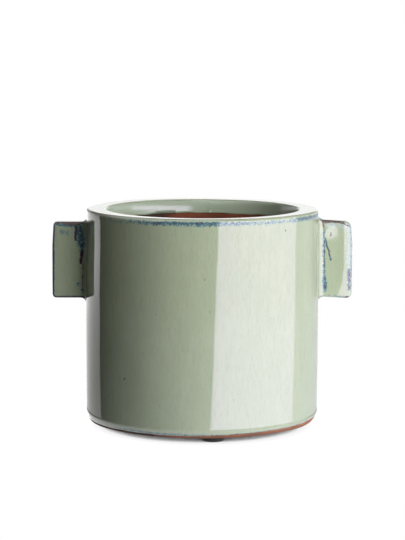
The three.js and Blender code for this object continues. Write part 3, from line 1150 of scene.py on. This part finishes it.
# How low and how high the cards reach
CARD_LOW = -0.8
CARD_HIGH = 0.40
BACKDROP_HIGH = 0.90
FLAG_HIGH = 1.6
KEY_LOW = -0.2
REAR_LOW = 0.0
KEY_HIGH = 1.1

# The softbox fades rearwards with this power of the share across, and gains this much upwards
# between two heights
SOFTBOX_POWER = 2.6
SOFTBOX_GAIN = 0.5
SOFTBOX_GAIN_HEIGHTS = (0.12, 0.25)

# The spill fades rearwards to this level, with this power
SPILL_END = 0.85
SPILL_POWER = 1.2

# The backdrop's share of its brightness at some heights, and where the light above the flag
# fades in
BACKDROP_HEIGHTS = (-0.15, -0.05, 0.05, 0.20, 0.32, 0.45)
BACKDROP_FADE = (0.55, 0.72, 1.16, 0.86, 0.84, 0.30)
OVERHEAD_HEIGHTS = (0.42, 0.75)

# The grid of a card
CARD_COLUMNS = 49
CARD_ROWS = 61

SOFTBOX_TINT = (1.14, 1.0, 1.32, 1.0)
SPILL_TINT = (1.0, 1.0, 1.06, 1.0)
WHITE = (1.0, 1.0, 1.0, 1.0)


def card(name, first, last, level, tint=WHITE, low=CARD_LOW, high=CARD_HIGH, leans=(0, 0)):
    """Part of a standing cylinder round the pot, from one angle in degrees to another. Its first
    and last edge lean by these degrees for each metre of height. level gives its brightness
    from the share of the way across and the height."""
    across = np.linspace(0, 1, CARD_COLUMNS)
    heights = steps(low, high, CARD_ROWS)
    lean = leans[0] + (leans[1] - leans[0]) * across
    degrees = first + (last - first) * across + lean * np.clip(heights, *LEAN_HEIGHTS)
    points = turned(CARD_DISTANCE, heights, np.radians(degrees))
    rows, columns = points.shape[:2]
    index = np.arange(rows * columns).reshape(rows, columns)
    corners = (index[:-1, :-1], index[1:, :-1], index[1:, 1:], index[:-1, 1:])
    mesh = bpy.data.meshes.new(name)
    faces = np.stack(corners, axis=-1).reshape(-1, 4).tolist()
    mesh.from_pydata(points.reshape(-1, 3).tolist(), [], faces)
    levels = np.broadcast_to(level(across, heights), (rows, columns))
    mesh.attributes.new("level", "FLOAT", "POINT").data.foreach_set("value", levels.ravel())
    paint = Paint(bpy.data.materials.new(name))
    sockets = {"Color": tint, "Strength": paint.attribute("level")}
    mesh.materials.append(paint.shader(paint.node("ShaderNodeEmission", sockets=sockets)))
    piece = put_in_scene(name, mesh)
    piece.visible_camera = False
    piece.visible_shadow = False
    piece.visible_transmission = False
    return piece


def make_cards(studio):
    """Four cards that the glaze mirrors but that light nothing else, and three lights that it
    doesn't mirror."""

    def softbox(across, height):
        near, far = studio.softbox_near, studio.softbox_far
        gain = 1 + SOFTBOX_GAIN * smooth(height, *SOFTBOX_GAIN_HEIGHTS)
        return (near + (far - near) * across**SOFTBOX_POWER) * gain

    def spill(across, height):
        return SPILL_END + (studio.spill - SPILL_END) * (1 - across) ** SPILL_POWER

    def backdrop(across, height):
        return studio.backdrop * np.interp(height, BACKDROP_HEIGHTS, BACKDROP_FADE)

    def flag(across, height):
        return studio.overhead * smooth(height, *OVERHEAD_HEIGHTS)

    def even(brightness):
        return lambda across, height: brightness

    leans = (FRONT_LEAN, REAR_LEAN)
    flag_end = SOFTBOX_FRONT + 360
    mirrored = (
        card("softbox", SOFTBOX_FRONT, SOFTBOX_REAR, softbox, SOFTBOX_TINT, leans=leans),
        card("spill", SOFTBOX_REAR, SPILL_REAR, spill, SPILL_TINT, leans=(REAR_LEAN, 0)),
        card("backdrop", SPILL_REAR, BACKDROP_REAR, backdrop, high=BACKDROP_HIGH),
        card("dark_flag", BACKDROP_REAR, flag_end, flag, high=FLAG_HIGH, leans=(0, FRONT_LEAN)),
    )
    for piece in mirrored:
        piece.visible_diffuse = False
    lights = (
        card("front_light", *FRONT_LIGHT, even(studio.front_light), low=KEY_LOW, high=KEY_HIGH),
        card("key_light", *KEY_LIGHT, even(studio.key_light), low=KEY_LOW, high=KEY_HIGH),
        card("rear_light", *REAR_LIGHT, even(studio.rear_light), low=REAR_LOW, high=KEY_HIGH),
    )
    for piece in lights:
        piece.visible_glossy = False


# How the floor is shaded: how far and about which direction it looks for the pot, how many
# times over it counts what is open there, up to 1, and the power that this is raised to. A faint
# tail takes off a further share where the floor is less open than between two more numbers.
CONTACT_REACH = 0.25
CONTACT_LEAN = (0.76, -0.12, 0.64)
CONTACT_GAIN = 13.5
CONTACT_POWER = 1.5
CONTACT_TAIL = 0.10
CONTACT_TAIL_OPENNESS = (0.08, 0.40)

# The table is a disc under the pot. Its shine in the glaze is full up to a share of its radius.
FLOOR_RADIUS = 6.0
TABLE_RADIUS = 0.134
TABLE_FULL = 0.82


def make_floor(studio):
    """A round pale floor that only the camera sees: white, shaded where the pot keeps the light
    away from it. On it lies the table, which shines on the pot and in the glaze, where it fades
    towards its edge."""
    paint = Paint(bpy.data.materials.new("pale_floor"))
    sockets = {"Distance": CONTACT_REACH, "Normal": CONTACT_LEAN}
    openness = paint.node("ShaderNodeAmbientOcclusion", {"samples": 32}, sockets, "AO")
    core = (openness * CONTACT_GAIN).at_most(1.0) ** CONTACT_POWER
    tail = CONTACT_TAIL * paint.rise(openness, *CONTACT_TAIL_OPENNESS)
    shade = core * (1 - CONTACT_TAIL + tail)
    white = paint.node("ShaderNodeEmission", sockets={"Strength": shade})
    angles = all_round(64)
    rings = turned(steps(FLOOR_RADIUS, 0, 9), 0, angles)
    floor = skin("floor", rings, paint.shader(white), last_pole=True)
    floor.visible_glossy = False
    floor.visible_diffuse = False
    floor.visible_shadow = False
    paint = Paint(bpy.data.materials.new("table_glow"))
    glossy = paint.node("ShaderNodeLightPath", output="Is Glossy Ray")
    away = paint.vector("LENGTH", {0: paint.place()}, "Value")
    shine = studio.table_shine * paint.rise(away, TABLE_RADIUS, TABLE_FULL * TABLE_RADIUS)
    strength = studio.table_glow + glossy * (shine - studio.table_glow)
    light = paint.node("ShaderNodeEmission", sockets={"Strength": strength})
    rings = turned(steps(TABLE_RADIUS, 0, 3), 0, angles)
    table = skin("table", rings, paint.shader(light), last_pole=True)
    table.visible_camera = False
    table.visible_shadow = False


def make_world(studio):
    """White behind the pot, a dim room in the glaze, and a dimmer one for all else."""
    world = bpy.data.worlds.new("studio")
    bpy.context.scene.world = world
    paint = Paint(world)
    camera = paint.node("ShaderNodeLightPath", output="Is Camera Ray")
    gloss = paint.node("ShaderNodeLightPath", output="Is Glossy Ray")
    glass = paint.node("ShaderNodeLightPath", output="Is Transmission Ray")
    shown = (camera + glass).at_most(1.0)
    strength = shown + gloss * studio.room + (1 - (shown + gloss).at_most(1.0)) * studio.ambient
    sockets = {"Color": WHITE, "Strength": strength}
    surface = paint.node("ShaderNodeBackground", sockets=sockets)
    paint.node("ShaderNodeOutputWorld", sockets={"Surface": surface})


SENSOR_WIDTH = 36


def make_camera(studio):
    """The camera stands in front of the pot, looks down by its pitch and leans by its roll."""
    lens = bpy.data.cameras.new("camera")
    lens.sensor_width = SENSOR_WIDTH
    lens.lens = studio.focal_length
    camera = put_in_scene("camera", lens)
    camera.matrix_world = (
        Matrix.Translation((0, -studio.camera_away, studio.camera_height))
        @ Matrix.Rotation(math.pi / 2 - studio.camera_pitch, 4, "X")
        @ Matrix.Rotation(studio.camera_roll, 4, "Z")
    )
    bpy.context.scene.camera = camera


# ---- Operators -----------------------------------------------------------------------------


class MakeClay(bpy.types.Operator):
    """Make the bare clay of the wall, the rim and the floor"""

    bl_idname = "planter.make_clay"
    bl_label = "Clay"

    def execute(self, context):
        scene = context.scene
        body = make_clay_body(scene.planter_pot, clay_finish(scene.planter_colours))
        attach(body, "root")
        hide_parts("pot_floor")
        return {"FINISHED"}


class MakeGlaze(bpy.types.Operator):
    """Make the coat of glaze over the side, the rim and the lip"""

    bl_idname = "planter.make_glaze"
    bl_label = "Glaze"

    def execute(self, context):
        scene = context.scene
        finish = glaze_finish(scene.planter_pot, scene.planter_colours)
        coat = make_glaze_coat(scene.planter_pot, finish)
        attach(coat, "root")
        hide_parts("pot_wall")
        return {"FINISHED"}


class MakeLugs(bpy.types.Operator):
    """Make the two glazed slab lugs"""

    bl_idname = "planter.make_lugs"
    bl_label = "Lugs"

    def execute(self, context):
        scene = context.scene
        pot = scene.planter_pot
        lugs = scene.planter_lugs
        finish = bpy.data.materials.get("sage_glaze") or glaze_finish(pot, scene.planter_colours)
        right = {
            "side": 1,
            "lift": lugs.right_lift,
            "height": lugs.right_height,
            "corner": lugs.right_corner,
            "droop": lugs.right_droop,
            "short": lugs.right_short,
            "draw": lugs.right_draw,
            "swell": right_swell,
        }
        left = {
            "side": -1,
            "lift": -lugs.left_drop,
            "height": lugs.left_height,
            "corner": lugs.left_corner,
            "droop": 0,
            "short": 0,
            "draw": lugs.left_draw,
            "swell": left_swell,
        }
        for node, form in (("right_lug", right), ("left_lug", left)):
            lug = make_lug(f"glazed_{node}", pot, lugs, finish, **form)
            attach(lug, "root")
            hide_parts(node)
        return {"FINISHED"}


class MakeFeet(bpy.types.Operator):
    """Make the soft feet and the glue discs that hold them"""

    bl_idname = "planter.make_feet"
    bl_label = "Feet"

    def execute(self, context):
        feet = context.scene.planter_feet
        tints = context.scene.planter_colours
        kinds = (
            ("rubber_foot", "foot_pad", foot_profile(feet), rubber_finish(tints), "foot_rubber"),
            ("glue_disc", "foot_adhesive", glue_profile(feet), glue_finish(tints), "adhesive"),
        )
        for number in FEET:
            for name, node, profile, finish, slot in kinds:
                low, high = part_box(f"{node}_{number}")
                disc = make_disc(f"{name}_{number}", (low + high) / 2, profile, finish)
                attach(disc, "root")
                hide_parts(f"{node}_{number}")
        return {"FINISHED"}


class MakeStudio(bpy.types.Operator):
    """Make the floor, the lights, the backdrop and the camera"""

    bl_idname = "planter.make_studio"
    bl_label = "Studio"

    def execute(self, context):
        studio = context.scene.planter_studio
        make_floor(studio)
        make_cards(studio)
        make_world(studio)
        make_camera(studio)
        context.scene.view_settings.view_transform = "Standard"
        return {"FINISHED"}


class PlanterPanel(bpy.types.Panel):
    """Makes the planter piece by piece"""

    bl_idname = "VIEW3D_PT_planter"
    bl_label = "Planter"
    bl_space_type = "VIEW_3D"
    bl_region_type = "UI"
    bl_category = "Planter"

    def draw(self, context):
        for operator in OPERATORS:
            self.layout.operator(operator.bl_idname)


SETTINGS = {
    "planter_pot": PotSizes,
    "planter_lugs": LugSizes,
    "planter_feet": FootSizes,
    "planter_colours": FinishColours,
    "planter_studio": StudioLevels,
}
OPERATORS = (MakeClay, MakeGlaze, MakeLugs, MakeFeet, MakeStudio)
CLASSES = (*SETTINGS.values(), *OPERATORS, PlanterPanel)


def register():
    for item in CLASSES:
        bpy.utils.register_class(item)
    for name, group in SETTINGS.items():
        setattr(bpy.types.Scene, name, bpy.props.PointerProperty(type=group))


def unregister():
    for name in SETTINGS:
        delattr(bpy.types.Scene, name)
    for item in reversed(CLASSES):
        bpy.utils.unregister_class(item)


def main():
    register()
    bpy.ops.planter.make_clay()
    bpy.ops.planter.make_glaze()
    bpy.ops.planter.make_lugs()
    bpy.ops.planter.make_feet()
    bpy.ops.planter.make_studio()


if __name__ == "__main__":
    main()
